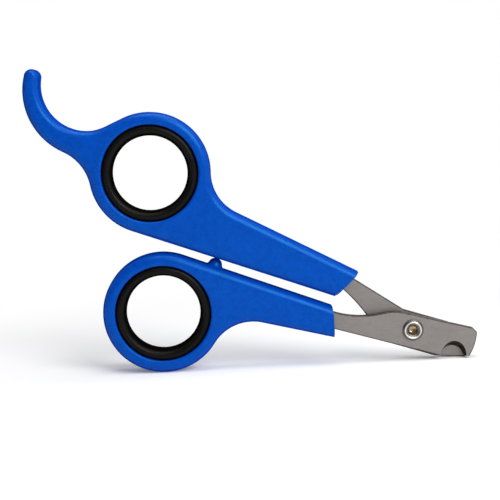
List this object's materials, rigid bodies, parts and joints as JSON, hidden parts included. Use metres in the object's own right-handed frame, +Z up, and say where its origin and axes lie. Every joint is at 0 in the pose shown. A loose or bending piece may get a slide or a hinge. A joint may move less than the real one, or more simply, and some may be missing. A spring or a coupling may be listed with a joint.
{
  "type": "scissor-type claw clipper",
  "caption": "Scissor-type claw clipper with two ringed plastic handles, a finger hook behind the upper ring, and short steel blades with half-round notches that meet around a claw.",
  "frame": {"origin": "on the floor, under the middle of the overall length, in the handles' middle plane", "axes": "+X towards the jaws, +Y from the front blade to the rear blade, +Z up; the clipper is shut and stands on its lower ring and on the tip of its jaws"},
  "size_m": [0.126, 0.0086, 0.0869],
  "materials": {
    "handle_plastic": "satin moulded blue",
    "insert_rubber": "soft black",
    "blade_steel": "fine blasted grey",
    "rivet_steel": "bright rolled rim"
  },
  "bodies": {
    "lower_half": {"lower_handle": "handle_plastic", "lower_finger_insert": "insert_rubber", "front_blade": "blade_steel", "pivot_rivet": "rivet_steel"},
    "upper_half": {"upper_handle": "handle_plastic", "upper_finger_insert": "insert_rubber", "rear_blade": "blade_steel"}
  },
  "joints": [
    {"name": "pivot", "type": "hinge", "parent": "lower_half", "child": "upper_half", "pos_m": [0.04434, 0, 0.00899], "axis": [0, 1, 0], "range_deg": [0, 47]}
  ]
}
